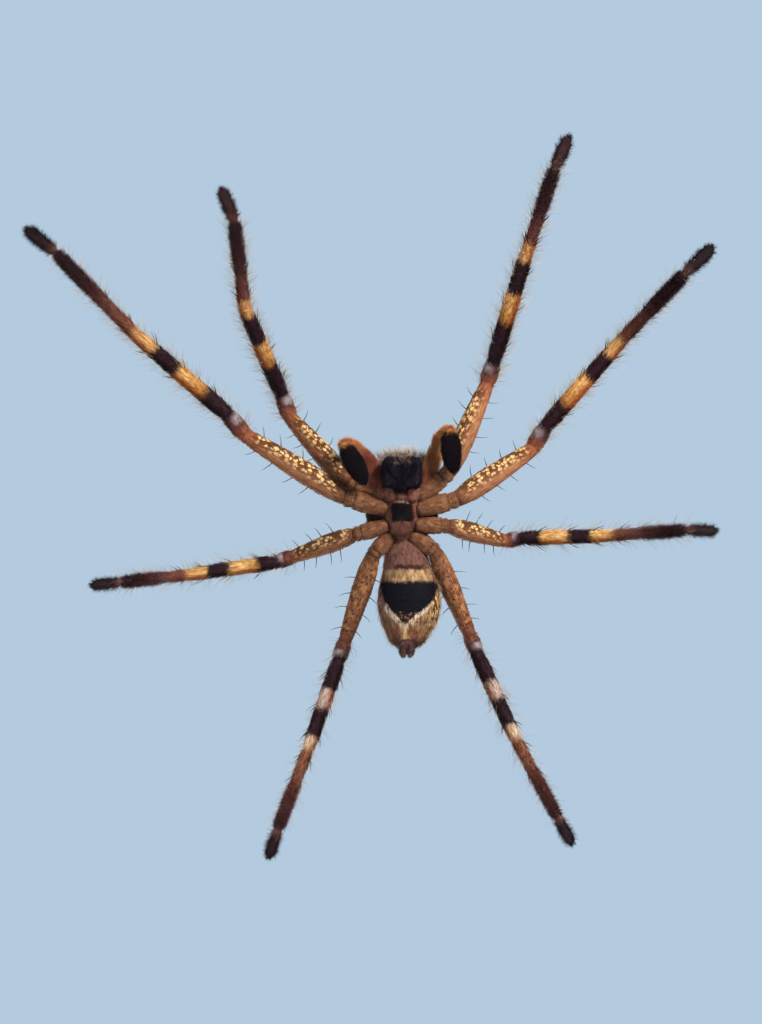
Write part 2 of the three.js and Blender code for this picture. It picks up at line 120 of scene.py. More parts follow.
ABDOMEN_SHAPE = (
    (0, 0.7), (0.05, 1.4), (0.11, 2.06), (0.19, 2.4), (0.28, 2.69), (0.37, 3.08), (0.46, 3.38), (0.55, 3.52),
    (0.64, 3.46), (0.73, 3.17), (0.82, 2.62), (0.91, 2.0), (0.96, 1.5), (1, 1.0),
)


def unit(vectors):
    return vectors / np.maximum(np.linalg.norm(vectors, axis=-1, keepdims=True), 1e-12)


def smoothstep(value, low, high):
    """0 at low and 1 at high, whichever of them is the larger."""
    t = np.clip((value - low) / (high - low), 0, 1)
    return t * t * (3 - 2 * t)


def circle(turn):
    """How far aside and how far up a turn is, on a circle of radius 1. Turn 0 is at the top."""
    return np.sin(2 * np.pi * turn), np.cos(2 * np.pi * turn)


def size_by(power, *parts):
    """The length of a vector by its parts, where the power is 2. A higher power squares off a circle."""
    return sum(np.abs(part) ** power for part in parts) ** (1 / power)


def mirrored(side, *path, middle=0.0):
    """A path of the spider's right side, or its mirror image."""
    return [(middle + side * x, y, z) for x, y, z in path]


def spline(points, samples=160):
    """A smooth curve through points, as many samples along it."""
    points = np.array(points, float)
    ends = np.vstack((2 * points[0] - points[1], points, 2 * points[-1] - points[-2]))
    at = np.linspace(0, len(points) - 1, samples)
    start = np.minimum(at.astype(int), len(points) - 2)
    t = (at - start)[:, None]
    a, b, c, d = (ends[start + i] for i in range(4))
    return b + 0.5 * t * (c - a + t * (2 * a - 5 * b + 4 * c - d + t * (3 * (b - c) + d - a)))


class Form:
    """A closed surface with places by share along it and turn round it, both from 0 to 1.

    Each kind has place, the points of its surface. The surface faces away from its core.
    """

    def core(self, share):
        return np.broadcast_to(self.centre, (*np.shape(share), 3))

    def pattern(self, share, turn):
        """Where the markings are looked up: here, the place in the body itself."""
        return self.place(share, turn)

    def band(self, share):
        return np.zeros_like(share)

    def facing(self, share, turn):
        """Places on the surface, with the ways out of it and along it, and its area by share and turn."""
        step = 1e-3
        here = self.place(share, turn)
        ahead = self.place(share + step, turn) - self.place(share - step, turn)
        aside = self.place(share, turn + step) - self.place(share, turn - step)
        cross = np.cross(ahead, aside)
        area = np.linalg.norm(cross, axis=-1) / (2 * step) ** 2
        out = unit(cross)
        out[np.sum(out * (here - self.core(share)), axis=-1) < 0] *= -1
        return here, out, unit(ahead), area


class Limb(Form):
    """A turned form laid along a path, its ends rounded off. Turn 0 is on its back."""

    samples = 481                      # places along the form where its thickness is kept
    softness = 25                      # how many of them an edge of its outline is spread over

    def __init__(
        self, path, shape, back=UP, wide=1.0, high=1.0, reach=(0.0, 0.0), blunt=0.5, girth=1.0, square=2.0
    ):
        self.points = spline(path)
        self.wide, self.high, self.square = wide, high, square
        steps = np.linalg.norm(np.diff(self.points, axis=0), axis=1)
        run = np.concatenate(([0], np.cumsum(steps)))
        self.length = run[-1]
        self.shares = run / self.length
        self.along = unit(np.gradient(self.points, run, axis=0))
        self.side = unit(np.cross(self.along, np.array(back, float)))
        self.out = unit(np.cross(self.side, self.along))
        self.ends = (-reach[0] / self.length, 1 + reach[1] / self.length)
        self.at = np.linspace(*self.ends, self.samples)
        table = np.array(shape, float)
        plain = np.interp(np.clip(self.at, 0, 1), table[:, 0], table[:, 1] * girth)
        window = np.hanning(self.softness)
        padded = np.pad(plain, self.softness // 2, mode="edge")
        soft = np.convolve(padded, window / window.sum(), mode="valid")
        from_end = np.minimum(self.at - self.ends[0], self.ends[1] - self.at) * self.length
        close = np.clip(1 - from_end / (blunt * girth), 0, 1)
        self.radii = soft * np.sqrt(1 - close**2)

    def on_path(self, values, share):
        inside = np.clip(share, 0, 1)
        return np.stack([np.interp(inside, self.shares, values[:, i]) for i in range(3)], axis=-1)

    def axis(self, at):
        beyond = (at - np.clip(at, 0, 1)) * self.length
        return self.on_path(self.points, at) + beyond[..., None] * self.on_path(self.along, at)

    def core(self, share):
        return self.axis(self.stretch(share))

    def stretch(self, share):
        """The share of the path at a share of the whole form, with its rounded ends."""
        return self.ends[0] + share * (self.ends[1] - self.ends[0])

    def place(self, share, turn):
        at = self.stretch(share)
        across, back = circle(turn)
        radius = np.interp(at, self.at, self.radii) / size_by(self.square, across, back)
        side = (radius * self.wide * across)[..., None] * self.on_path(self.side, at)
        out = (radius * self.high * back)[..., None] * self.on_path(self.out, at)
        return self.axis(at) + side + out


class LegPart(Limb):
    """A part of a leg or palp. Its markings are looked up as if the leg were straight: along it, to its
    front and up."""

    def __init__(self, number, side, start, path, shape, **settings):
        super().__init__(path, shape, **settings)
        self.number = number
        self.start = start
        self.front = -SIDES[side]

    def pattern(self, share, turn):
        at = self.stretch(share)
        radius = np.interp(at, self.at, self.radii)
        across, back = circle(turn)
        return np.stack((self.start + at * self.length, radius * across * self.front, radius * back), axis=-1)

    def band(self, share):
        return self.number + np.clip(self.stretch(share), 0.001, 0.999)


class Ball(Form):
    """An ellipsoid with its poles below and above. A higher power makes it blunter."""

    def __init__(self, centre, radii, power=2.0):
        self.centre, self.radii, self.power = np.array(centre), np.array(radii), power

    def place(self, share, turn):
        across, forward = circle(turn)
        wide, low = np.sin(np.pi * share), np.cos(np.pi * share)
        ball = (wide * across, wide * forward, -low)
        return self.centre + self.radii * np.stack(ball, axis=-1) / size_by(self.power, *ball)[..., None]


class Carapace(Form):
    """The shield over the front body: a low dome on a pear-shaped outline, grooved from its middle."""

    middle, half_length, half_width = 2.2, 4.78, 4.23
    head_taper, hind_slope, power = 0.13, 0.22, 3
    rim, height, thick = 5.2, 2.78, 0.42
    centre = (0.0, middle, rim - 2)
    groove_depth, pit_depth, neck_depth = 0.1, 0.4, 0.22
    pit = -0.25                        # where the pit lies on the middle line, as a share of half the length
    rays = 9
    rim_share = 0.8                    # the shares past this one turn under the rim
    ring_power, climb_power = 0.8, 0.9   # how the rings of the dome are spread outwards and upwards

    def place(self, share, turn):
        angle = (1 - np.clip(share / self.rim_share, 0, 1)) * np.pi / 2
        under = np.clip((share - self.rim_share) / (1 - self.rim_share), 0, 1)
        ring = np.maximum(np.cos(angle), 0) ** self.ring_power * (1 - under)
        climb = np.sin(angle) ** self.climb_power
        across, forward = (ring * part for part in circle(turn))
        blunt = np.hypot(across, forward) / np.maximum(size_by(self.power, across, forward), 1e-9)
        u, v = across * blunt, forward * blunt
        taper = 1 - self.head_taper * smoothstep(v, 0.05, 0.85)
        slope = 1 - self.hind_slope * smoothstep(-v, 0, 1)
        up = self.height * climb * slope - self.thick * np.sqrt(1 - (1 - under) ** 2)
        up = up - self.hollows(u, v) * climb
        x, y = u * self.half_width * taper, self.middle + v * self.half_length
        return np.stack((x, y, self.rim + up), axis=-1)

    def hollows(self, u, v):
        """The pit on the back, grooves that run out from it, and the dip on each side of the head."""
        far, way = np.hypot(u, v - self.pit), np.arctan2(u, v - self.pit)
        pit = self.pit_depth * np.exp(-((u / 0.05) ** 2) - ((v - self.pit) / 0.13) ** 2)
        groove = self.groove_depth * (0.5 + 0.5 * np.cos(self.rays * way)) ** 3
        groove = groove * smoothstep(far, 0.1, 0.3) * (1 - smoothstep(far, 0.6, 0.95))
        neck = np.abs(u) - 0.25 - 0.45 * (v - self.pit)
        dip = self.neck_depth * np.exp(-((neck / 0.1) ** 2)) * smoothstep(v, self.pit, self.pit + 0.2)
        return pit + groove + dip * (1 - smoothstep(v, 0.35, 0.75))


def joints_of(leg):
    """Joints of a leg, from the root of its coxa to its toe."""
    root, hip, headings, heights = STANCE[leg]
    joints = [np.array(root, float), np.array(hip, float)]
    ends = (*heights, ANKLE_HEIGHT, TOE_HEIGHT)
    for length, heading, height in zip(LEG_LENGTHS[int(leg[-1])], headings, ends):
        rise = height - joints[-1][2]
        run = math.sqrt(length**2 - rise**2)
        turn = math.radians(heading)
        joints.append(joints[-1] + (run * math.cos(turn), run * math.sin(turn), rise))
    return joints


def leg_forms(leg):
    """The six parts of a leg, each reaching a little way into the next."""
    joints = joints_of(leg)
    side, pair = leg.split("_")[0], int(leg[-1])
    forms, start = [], 0.0
    for number, part in enumerate(LEG_PARTS):
        a, b = joints[number], joints[number + 1]
        path = [a, b]
        if part == "patella":
            path.insert(1, (a + b) / 2 + PATELLA_ARCH * unit(np.cross(np.cross(b - a, UP), b - a)))
        last = number == TARSUS
        form = LegPart(
            number, side, start, path, LEG_SHAPES[part], high=0.9 if last else 1.0,
            reach=(OVERLAP, 0.1 if last else OVERLAP), blunt=0.4, girth=LEG_GIRTH[pair],
        )
        forms.append(form)
        start += form.length
    return forms


def palp_forms(side):
    palp = PALPS[side]
    arm = LegPart(0, side, 0.0, palp["path"], PALP_SHAPE, back=palp["turn_axis"], reach=(0.6, 0.1), blunt=0.4)
    ends = (palp["path"][-1], palp["tip"])
    pad = LegPart(1, side, arm.length, ends, PAD_SHAPE, high=0.68, reach=(0.2, -0.05), blunt=0.6)
    return arm, pad


def chelicera_form(side):
    path = mirrored(side, (1.15, 4.3, 5.5), (1.2, 4.95, 3.6), (1.15, 5.3, 0.95))
    shape = ((0, 0.62), (0.17, 0.85), (0.4, 0.98), (0.75, 0.96), (0.92, 0.9), (1, 0.82))
    return Limb(path, shape, back=(0, 1, 0), high=1.78, blunt=0.4, reach=(0, -0.05), square=4)


def fang_form(side):
    path = mirrored(side, (1.6, 6.1, 1.15), (1.4, 5.6, 0.9), (0.9, 4.75, 0.85), (0.4, 4.1, 1.0))
    return Limb(path, ((0, 0.34), (0.15, 0.36), (0.6, 0.26), (1, 0.06)), blunt=0.1)


def maxilla_forms(side):
    """The blade beside the mouth and the lobe that carries the palp."""
    blade = mirrored(side, (1.0, 1.9, 3.2), (1.4, 3.0, 2.95), (1.5, 3.9, 3.0))
    lobe = mirrored(side, (1.3, 2.3, 3.7), (2.75, 3.75, 3.7))
    return (
        Limb(blade, ((0, 0.5), (0.3, 0.62), (0.7, 0.6), (1, 0.36)), wide=1.05),
        Limb(lobe, ((0, 0.5), (0.4, 0.76), (1, 0.66)), reach=(0, 0.3)),
    )


def spinneret_forms():
    """A knob with two pairs of fingers, a lower and an upper one."""
    middle = -0.55
    forms = [Ball((middle, -14.6, 3.3), (0.9, 0.92, 0.86))]
    for side in SIDES.values():
        for path in (
            ((0.42, -14.1, 2.8), (0.44, -15.1, 2.65), (0.28, -15.85, 2.75)),
            ((0.42, -14.5, 3.4), (0.48, -15.3, 3.35), (0.44, -15.9, 3.4)),
        ):
            placed = mirrored(side, *path, middle=middle)
            forms.append(Limb(placed, ((0, 0.36), (0.5, 0.4), (0.82, 0.3), (1, 0.14)), blunt=0.2))
    return forms


STERNUM = Ball((0, 0, 2.98), (1.27, 2.02, 0.56), 2.5)
LABIUM = Ball((0, 2.5, 3.02), (0.74, 0.56, 0.52))
UNDERBODY = Ball((0, 0.8, 4.5), (2.4, 3.55, 1.6))
ABDOMEN = Limb(ABDOMEN_PATH, ABDOMEN_SHAPE, high=0.92, blunt=1.3, reach=(0.3, 0.05))
CARAPACE = Carapace()


# Meshes

FLOOR_GAP = 0.02
FLOOR_DEPTH = 0.03                     # hair that lies on the floor is spread over this height


def above_floor(points):
    """Points with none under the floor: what would reach through it bends and lies on it."""
    points = points.copy()
    points[:, 2] = np.maximum(points[:, 2], FLOOR_GAP + FLOOR_DEPTH * np.exp(np.minimum(points[:, 2], 0)))
    return points


def mesh_object(name, points, faces, attributes):
    """A smooth mesh of triangles and quads, with values kept at its points. Points are in the body frame."""
    points = above_floor(points)
    mesh = bpy.data.meshes.new(name)
    mesh.vertices.add(len(points))
    mesh.vertices.foreach_set("co", ((points + BODY) * MM).astype(np.float32).ravel())
    corners = np.concatenate([f.ravel() for f in faces])
    sizes = np.concatenate([np.full(len(f), f.shape[1]) for f in faces])
    mesh.loops.add(len(corners))
    mesh.loops.foreach_set("vertex_index", corners.astype(np.int32))
    mesh.polygons.add(len(sizes))
    mesh.polygons.foreach_set("loop_start", np.concatenate(([0], np.cumsum(sizes)[:-1])).astype(np.int32))
    mesh.update(calc_edges=True)
    mesh.polygons.foreach_set("use_smooth", np.ones(len(sizes), bool))
    for key, values in attributes.items():
        kind, field = ("FLOAT_VECTOR", "vector") if values.ndim == 2 else ("FLOAT", "value")
        layer = mesh.attributes.new(key, kind, "POINT")
        layer.data.foreach_set(field, values.astype(np.float32).ravel())
    mesh.validate()
    piece = bpy.data.objects.new(name, mesh)
    bpy.context.scene.collection.objects.link(piece)
    return piece


def skin_grid(form, rings, sides):
    """Points, faces and markings of a form, closed by a point at each end, its rings closer there."""
    even = np.linspace(0, 1, rings)
    share = 0.5 * (0.5 - 0.5 * np.cos(np.pi * even)) + 0.5 * even
    s, t = np.meshgrid(share, np.arange(sides) / sides, indexing="ij")
    index = np.arange(rings * sides).reshape(rings, sides)
    a, b = index[:-1], index[1:]
    faces = np.stack((a, np.roll(a, -1, 1), np.roll(b, -1, 1), b), axis=-1).reshape(-1, 4)
    return form.place(s, t).reshape(-1, 3), faces, form.pattern(s, t).reshape(-1, 3), form.band(s).ravel()


def finish_piece(piece, material, nodes):
    """Gives a piece its material, hides the imported parts that it stands for, and fixes it to the body."""
    piece.data.materials.append(MATERIALS[material])
    if nodes:
        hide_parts(*nodes)
    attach(piece, "root")


def skin(name, forms, rings, sides, material, slot, *nodes):
    """One piece from several forms. Rings is a number for each form, or one for all."""
    counts = rings if isinstance(rings, tuple) else (rings,) * len(forms)
    grids = [skin_grid(form, count, sides) for form, count in zip(forms, counts)]
    points, _, patterns, bands = (np.concatenate(parts) for parts in zip(*grids))
    firsts = np.cumsum([0] + [len(grid[0]) for grid in grids[:-1]])
    faces = np.concatenate([grid[1] + first for grid, first in zip(grids, firsts)])
    piece = mesh_object(name, points, [faces], {"pattern": patterns, "band": bands})
    weld = piece.modifiers.new("weld", "WELD")
    weld.merge_threshold = 1e-7
    finish_piece(piece, material, nodes)


def grid_of(rows, columns):
    """The shares and turns at the middles of equal cells."""
    share = (np.arange(rows) + 0.5) / rows
    turn = (np.arange(columns) + 0.5) / columns
    return (grid.ravel() for grid in np.meshgrid(share, turn, indexing="ij"))


def area_of(form):
    """The surface of a form in square millimetres."""
    return form.facing(*grid_of(60, 24))[3].mean()


def scatter(form, count, where=None):
    """Shares and turns of places spread evenly over a form, or thickest where a function of them is high."""
    rows, columns = 160, 48
    s, t = grid_of(rows, columns)
    weight = form.facing(s, t)[3]
    if where is not None:
        weight = weight * where(form, s, t)
    cells = draw.choice(len(weight), count, p=weight / weight.sum())
    jitter = draw.random((2, count)) - 0.5
    return np.clip(s[cells] + jitter[0] / rows, 0.002, 0.998), t[cells] + jitter[1] / columns


def cells_for(count):
    """Equal columns of the bake map, one for each form of a coat."""
    margin = 0.004
    return [(i / count + margin, margin, (i + 1) / count - margin, 1 - margin) for i in range(count)]


# How hair lies on a form. Lengths are millimetres and angles degrees.
Hair = namedtuple("Hair", "length width lift drop spread rings", defaults=(18, 14, 12, 1))
WHOLE_MAP = cells_for(1)[0]
RING = np.radians((90, 210, 330))      # the three corners of a hair's section
PATCH = 0.003                          # how wide a hair's patch is on its bake map
ROOT_DEPTH = 0.03                      # how deep a hair starts in its form


def strands(form, count, hair, cell=WHOLE_MAP, where=None):
    """Tapered three-sided hairs on a form. Cell is where the form lies on the bake map."""
    share, turn = scatter(form, count, where)
    surface, out, along, _ = form.facing(share, turn)
    root = surface - ROOT_DEPTH * out
    swing = np.radians(draw.normal(0, hair.spread, count))[:, None]
    lie = along * np.cos(swing) + np.cross(out, along) * np.sin(swing)
    lift = np.radians(hair.lift * (0.6 + 0.8 * draw.random(count)))[:, None]
    fall = lift - np.radians(hair.drop)
    start = lie * np.cos(lift) + out * np.sin(lift)
    end = lie * np.cos(fall) + out * np.sin(fall)
    length = (hair.length * (0.65 + 0.6 * draw.random(count)))[:, None]
    across = unit(np.cross(start, out))
    outward = unit(np.cross(across, start))
    steps = np.linspace(0, 1, hair.rings + 2)
    rows = []
    for t in steps[:-1]:
        centre = root + length * (start * t + (end - start) * t * t / 2)
        radius = hair.width / 2 * (1 - 0.75 * t**1.5)
        for angle in RING:
            rows.append(centre + radius * (math.cos(angle) * across + math.sin(angle) * outward))
    rows.append(root + length * (start + end) / 2)
    points = np.stack(rows, axis=1)
    per_hair = points.shape[1]
    base = (np.arange(count) * per_hair)[:, None, None]
    quads = [
        (3 * ring + i, 3 * ring + (i + 1) % 3, 3 * ring + 3 + (i + 1) % 3, 3 * ring + 3 + i)
        for ring in range(hair.rings) for i in range(3)
    ]
    last = 3 * hair.rings
    tips = [(last + i, last + (i + 1) % 3, last + 3) for i in range(3)]
    place = cell[:2] + np.stack((share, turn % 1), axis=-1) * (np.array(cell[2:]) - cell[:2])
    level = np.append(np.repeat(steps[:-1], 3), 1)
    width = np.append(np.tile((-0.5, 0.0, 0.5), hair.rings + 1), 0.0)
    patch = place[:, None, :] + PATCH * np.stack((width, level - 0.5), axis=-1)
    return {
        "points": points.reshape(-1, 3),
        "quads": (base + np.array(quads)).reshape(-1, 4),
        "tips": (base + np.array(tips)).reshape(-1, 3),
        "map": patch.reshape(-1, 2),
        "pattern": np.repeat(form.pattern(share, turn), per_hair, axis=0),
        "band": np.repeat(form.band(share), per_hair),
        "tip": np.tile(level, count),
        "shade": np.repeat(draw.random(count), per_hair),
    }


def coat(name, batches, material):
    """One piece of hair from several batches of strands, with its bake map, OFBake."""
    def merged(key):
        return np.concatenate([batch[key] for batch in batches])

    firsts = np.cumsum([0] + [len(batch["points"]) for batch in batches[:-1]])
    faces = [
        np.concatenate([batch[key] + first for batch, first in zip(batches, firsts)])
        for key in ("quads", "tips")
    ]
    values = {key: merged(key) for key in ("pattern", "band", "tip", "shade")}
    piece = mesh_object(name, merged("points"), faces, values)
    corners = np.concatenate([f.ravel() for f in faces])
    layer = piece.data.uv_layers.new(name="OFBake")
    layer.data.foreach_set("uv", merged("map")[corners].astype(np.float32).ravel())
    finish_piece(piece, material, ())


# Materials

def tint(code):
    """A linear colour from the usual six letters."""
    parts = [int(code[i:i + 2], 16) / 255 for i in (0, 2, 4)]
    return tuple(c / 12.92 if c <= 0.04045 else ((c + 0.055) / 1.055) ** 2.4 for c in parts) + (1.0,)


class Paint:
    """A node material being put together. Its settings are those of the surface shader.

    Where it takes a value, that is a number or the output of a node, and a colour may also be six letters.
    """

    def __init__(self, name, **settings):
        self.material = bpy.data.materials.new(name)
        self.material.use_nodes = True
        self.tree = self.material.node_tree
        self.shader = self.tree.nodes["Principled BSDF"]
        for socket, value in settings.items():
            self.shader.inputs[socket.replace("_", " ")].default_value = value

    def feed(self, socket, value):
        if isinstance(value, bpy.types.NodeSocket):
            self.tree.links.new(value, socket)
        else:
            socket.default_value = tint(value) if isinstance(value, str) else value

    def node(self, kind, inputs, **settings):
        node = self.tree.nodes.new(kind)
        for key, value in settings.items():
            setattr(node, key, value)
        for key, value in inputs.items():
            self.feed(node.inputs[key], value)
        return node

    def calc(self, operation, *values):
        return self.node("ShaderNodeMath", dict(enumerate(values)), operation=operation).outputs[0]

    def plus(self, a, b):
        return self.calc("ADD", a, b)

    def minus(self, a, b):
        return self.calc("SUBTRACT", a, b)

    def times(self, *values):
        return reduce(partial(self.calc, "MULTIPLY"), values)

    def value(self, name):
        return self.node("ShaderNodeAttribute", {}, attribute_name=name).outputs["Fac"]

    def place(self, stretch=(1, 1, 1)):
        """Where the markings are looked up."""
        vector = self.node("ShaderNodeAttribute", {}, attribute_name="pattern").outputs["Vector"]
        return self.node("ShaderNodeVectorMath", {0: vector, 1: stretch}, operation="MULTIPLY").outputs[0]

    def axes(self):
        return self.node("ShaderNodeSeparateXYZ", {0: self.place()}).outputs

    def noise(self, scale, detail=4.0, stretch=(1, 1, 1), roughness=0.55):
        inputs = {"Vector": self.place(stretch), "Scale": scale, "Detail": detail, "Roughness": roughness}
        return self.node("ShaderNodeTexNoise", inputs).outputs["Fac"]

    def clouds(self, scale, low, high, detail=4.0, stretch=(1, 1, 1)):
        """Soft patches, where noise goes from low to high."""
        return self.step(self.noise(scale, detail, stretch), low, high)

    def wobble(self, scale, amount, detail=3.0):
        """Noise about 0, which makes a value less even."""
        return self.times(self.minus(self.noise(scale, detail), 0.5), amount)

    def warped(self, place, scale, amount):
        """Places pushed about a little, so that what is drawn there is less even."""
        inputs = {"Vector": place, "Scale": scale, "Detail": 2.0}
        push = self.node("ShaderNodeTexNoise", inputs).outputs["Color"]
        inputs = {0: push, 1: (amount, amount, amount), 2: place}
        return self.node("ShaderNodeVectorMath", inputs, operation="MULTIPLY_ADD").outputs[0]

    def cells(self, place, scale=1.0, feature="F1"):
        inputs = {"Vector": place, "Scale": scale}
        return self.node("ShaderNodeTexVoronoi", inputs, feature=feature).outputs["Distance"]

    def step(self, value, low, high):
        """0 below low and 1 above high, or the other way round where low is the larger."""
        flip = low > high
        ends = (high, low) if flip else (low, high)
        inputs = {"Value": value, "From Min": ends[0], "From Max": ends[1]}
        inputs.update({"To Min": float(flip), "To Max": float(not flip)})
        return self.node("ShaderNodeMapRange", inputs, interpolation_type="SMOOTHSTEP").outputs[0]

    def zone(self, *limits):
        """1 where every value is past its limits, each of which is a value, low and high, as for step."""
        return self.times(*(self.step(*limit) for limit in limits))

    def blend(self, factor, under, over, kind="MIX"):
        inputs = {0: factor, 6: under, 7: over}
        return self.node("ShaderNodeMix", inputs, data_type="RGBA", blend_type=kind).outputs[2]

    def ramp(self, value, stops, whole):
        """Colours at stops from 0 to whole."""
        node = self.node("ShaderNodeValToRGB", {0: self.calc("DIVIDE", value, float(whole))})
        elements = node.color_ramp.elements
        while len(elements) < len(stops):
            elements.new(0.5)
        for element, (at, code) in zip(elements, stops):
            element.position = at / whole
            element.color = tint(code)
        return node.outputs[0]

    def bump(self, height, strength, depth):
        """Relief of a depth in millimetres."""
        inputs = {"Height": height, "Strength": strength, "Distance": depth * MM}
        self.feed(self.shader.inputs["Normal"], self.node("ShaderNodeBump", inputs).outputs[0])

    def colour(self, value):
        self.feed(self.shader.inputs["Base Color"], value)
        return self.material

    def surface(self, shader):
        """The material with another shader in place of its own."""
        self.tree.nodes.remove(self.shader)
        self.feed(self.tree.nodes["Material Output"].inputs["Surface"], shader.outputs[0])
        return self.material


BLACK = "2a1820"
ROOT_STOPS = (
    (0.0, "5f3b2c"), (0.7, "765038"), (0.76, "331f19"), (0.8, "7d583f"), (0.84, "4c3025"), (0.88, "835e43"),
    (0.92, "533527"), (0.96, "7d573d"), (1.0, "613f2d"),
)
FEMUR_STOPS = {
    "spotted": ((1.1, "8a6147"), (1.7, "9a6c4a"), (1.96, "85503a"), (2.3, "603a32"), (2.82, "432929")),
    "plain": ((1.1, "7c523d"), (1.7, "82563d"), (1.96, "744837"), (2.3, "5f3f37"), (2.82, "473231")),
}
BAND_EDGES = {
    1: (3.36, 3.61, 3.91, 4.05), 2: (3.25, 3.54, 3.8, 3.99),
    3: (3.21, 3.52, 3.78, 4.01), 4: (3.33, 3.54, 3.86, 3.99),
}
BAND_COLOURS = {
    1: ("ac763a", "dcb273", "bd9360"), 2: ("b07c40", "d8ae70", "c69c66"),
    3: ("c99e60", "d6b37a", "caa368"), 4: ("ab9791", "bfaca3", "c8b49a"),
}
FOOT_STOPS = {
    1: ((4.1, "5c352e"), (4.4, "412628"), (4.97, "2a1b20"), (5.3, "2f1e20"), (6.0, "2b1b1c")),
    2: (
        (4.05, "835341"), (4.2, "6c4234"), (4.45, "553330"), (4.65, "3b2427"), (4.97, "2e1e24"),
        (5.3, "22161c"), (6.0, "1b1217"),
    ),
    3: (
        (4.09, "744a3c"), (4.5, "583836"), (4.7, "41292c"), (4.97, "32222a"), (5.3, "2c2024"),
        (6.0, "211a1c"),
    ),
    4: (
        (4.06, "7e513c"), (4.3, "724a3b"), (4.6, "583632"), (4.97, "402629"), (5.3, "271920"),
        (6.0, "1f151a"),
    ),
}
ANKLE_STOPS = ((5.02, "5f3e37"), (5.15, "46302e"))


def leg_stops(pair):
    """Colours along a leg: at each stop, the number of the part with its share of the part's length."""
    first, second, third, last = BAND_EDGES[pair]
    near, middle, far = BAND_COLOURS[pair]
    soft = 0.02
    bands = (
        (2.9, BLACK), (first - soft, BLACK), (first + soft, near), (second - soft, middle),
        (second + soft, BLACK), (third - soft, BLACK), (third + soft, far), (last, far),
    )
    foot = tuple(sorted(FOOT_STOPS[pair] + ANKLE_STOPS))
    return ROOT_STOPS + FEMUR_STOPS["plain" if pair == 4 else "spotted"] + bands + foot


def leg_colour(paint, pair):
    """Bands along a leg, a pale patch on its knee, and on the front of its femur spots or dark dots."""
    front = paint.axes()[1]
    band = paint.plus(paint.value("band"), paint.wobble(1.3, 0.08))
    colour = paint.ramp(band, leg_stops(pair), len(LEG_PARTS))
    streaks = paint.clouds(1.0, 0.35, 0.75, stretch=(1.2, 5, 5))
    colour = paint.blend(streaks, colour, "bb9273", "MULTIPLY")
    mottle = paint.times(paint.step(band, 1.0, 0.8), paint.clouds(2.3, 0.42, 0.7, 6))
    colour = paint.blend(paint.times(mottle, 0.55), colour, "8a6748")
    behind = paint.zone((band, 2.9, 3.1), (band, 4.3, 4.1), (front, 0.1, -0.6))
    colour = paint.blend(behind, colour, "b98c70", "MULTIPLY")
    knee = paint.zone((band, 2.35, 2.65), (band, 2.96, 2.78), (front, -0.5, 0.45))
    colour = paint.blend(paint.times(knee, 0.85), colour, "8f8287")
    on_femur = paint.zone((band, 1.02, 1.1), (band, 1.95, 1.86))
    if pair == 4:
        patches = paint.times(on_femur, paint.clouds(1.3, 0.45, 0.65))
        colour = paint.blend(paint.times(patches, 0.7), colour, "a9794b")
        dots = paint.cells(paint.warped(paint.place((1.9, 2.6, 2.6)), 1.5, 0.8))
        dark = paint.times(on_femur, paint.zone((front, -0.9, -0.4), (dots, 0.4, 0.22)))
        return paint.blend(paint.times(dark, 0.85), colour, "2e1a12")
    on_front = paint.times(on_femur, paint.step(front, -0.45, -0.15))
    net = paint.plus(paint.times(paint.step(front, -0.3, 0.6), 0.35), 0.5)
    colour = paint.blend(paint.times(on_front, net), colour, "4a2a14")
    spacing = paint.warped(paint.place((1.4, 1.8, 1.8)), 1.6, 0.9)
    reach = paint.plus(paint.cells(spacing), paint.wobble(1.4, 0.7))
    edge = paint.cells(spacing, feature="DISTANCE_TO_EDGE")
    spot = paint.times(on_front, paint.zone((edge, 0.03, 0.12), (reach, 0.52, 0.36)))
    return paint.blend(spot, colour, paint.blend(paint.step(front, -0.2, 0.7), "aa805a", "cdab76"))


def body_colour(paint):
    """Brown below with a black patch on the sternum and painted shade on its sides under the rim, grey-brown
    above with dark rays.
    """
    across, forward, up = paint.axes()
    aside = paint.calc("ABSOLUTE", across)
    colour = paint.blend(paint.clouds(0.9, 0.35, 0.7), "553229", "7c5145")
    # Painted shade: dark brown on the underbody's sides between the coxae, under the carapace's rim.
    painted_shade_under_rim = paint.zone((up, 3.3, 3.7), (aside, 1.2, 1.6), (forward, 3.9, 3.3))
    colour = paint.blend(painted_shade_under_rim, colour, "2a1712")
    way = paint.calc("ARCTAN2", across, paint.minus(forward, 1.0))
    rays = paint.calc("COSINE", paint.times(way, CARAPACE.rays))
    back = paint.blend(paint.step(rays, -0.4, 0.9), "8a6a50", "4e382c")
    back = paint.blend(paint.clouds(2.4, 0.45, 0.7), back, "a38a70")
    head = paint.blend(paint.clouds(0.9, 0.3, 0.7), "7c4c32", "96694a")
    back = paint.blend(paint.step(forward, 3.2, 4.4), back, head)
    colour = paint.blend(paint.step(up, 5.0, 5.5), colour, back)
    face = paint.zone((forward, 6.0, 6.7), (up, 4.7, 5.1))
    colour = paint.blend(face, colour, "9c8670")
    low = (up, 3.35, 3.05)
    patch = paint.zone(low, (aside, 1.2, 1.05), (forward, -0.45, -0.25), (forward, 1.7, 1.55))
    colour = paint.blend(patch, colour, "0d070a")
    rim = paint.zone(low, (aside, 1.0, 0.8), (forward, 1.7, 1.8), (forward, 2.0, 1.9))
    return paint.blend(rim, colour, "a38a80")


